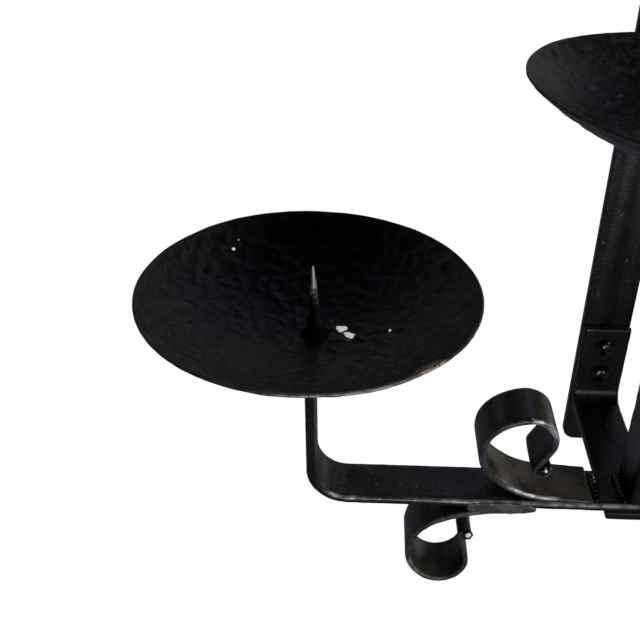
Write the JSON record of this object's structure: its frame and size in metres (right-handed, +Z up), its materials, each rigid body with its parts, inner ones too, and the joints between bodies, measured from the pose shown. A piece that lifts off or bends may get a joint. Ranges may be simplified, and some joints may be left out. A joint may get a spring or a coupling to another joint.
{
  "type": "wall sconce candle holder",
  "caption": "Black iron wall sconce: hammered pans with candle spikes on a bent flat-bar arm with scrolls, held off a wall bar by a bracket.",
  "frame": {"origin": "middle of the wall bar's back face, the face that lies on the wall", "axes": "+X along the cross bar, to the right as seen from the room; +Y into the wall; +Z up"},
  "size_m": [0.3994, 0.14, 0.2667],
  "materials": {
    "bar_paint": "black satin paint on flat bar, glossier and worn brown-grey along the edges",
    "pan_paint": "black satin paint on hammered sheet, worn to brown at the rim",
    "weld_paint": "semi-gloss black paint over weld beads and rivet heads",
    "spike_steel": "bare grey steel tip, blackened and rusty towards the root"
  },
  "bodies": {
    "root": {"centre_pan": "pan_paint", "centre_pan_inner_weld": "weld_paint", "centre_pan_outer_weld": "weld_paint", "centre_post": "bar_paint", "centre_spike": "spike_steel", "centre_spike_weld": "weld_paint", "cross_arm": "bar_paint", "left_bracket_weld": "weld_paint", "left_lower_scroll": "bar_paint", "left_lower_scroll_weld": "weld_paint", "left_pan": "pan_paint", "left_pan_inner_weld": "weld_paint", "left_pan_outer_weld": "weld_paint", "left_post_weld": "weld_paint", "left_spike": "spike_steel", "left_spike_weld": "weld_paint", "left_upper_scroll": "bar_paint", "left_upper_scroll_weld": "weld_paint", "lower_rivet": "weld_paint", "right_bracket_weld": "weld_paint", "right_lower_scroll": "bar_paint", "right_lower_scroll_weld": "weld_paint", "right_pan": "pan_paint", "right_pan_inner_weld": "weld_paint", "right_pan_outer_weld": "weld_paint", "right_post_weld": "weld_paint", "right_spike": "spike_steel", "right_spike_weld": "weld_paint", "right_upper_scroll": "bar_paint", "right_upper_scroll_weld": "weld_paint", "upper_rivet": "weld_paint", "wall_bar": "bar_paint", "wall_bracket": "bar_paint"}
  },
  "joints": []
}
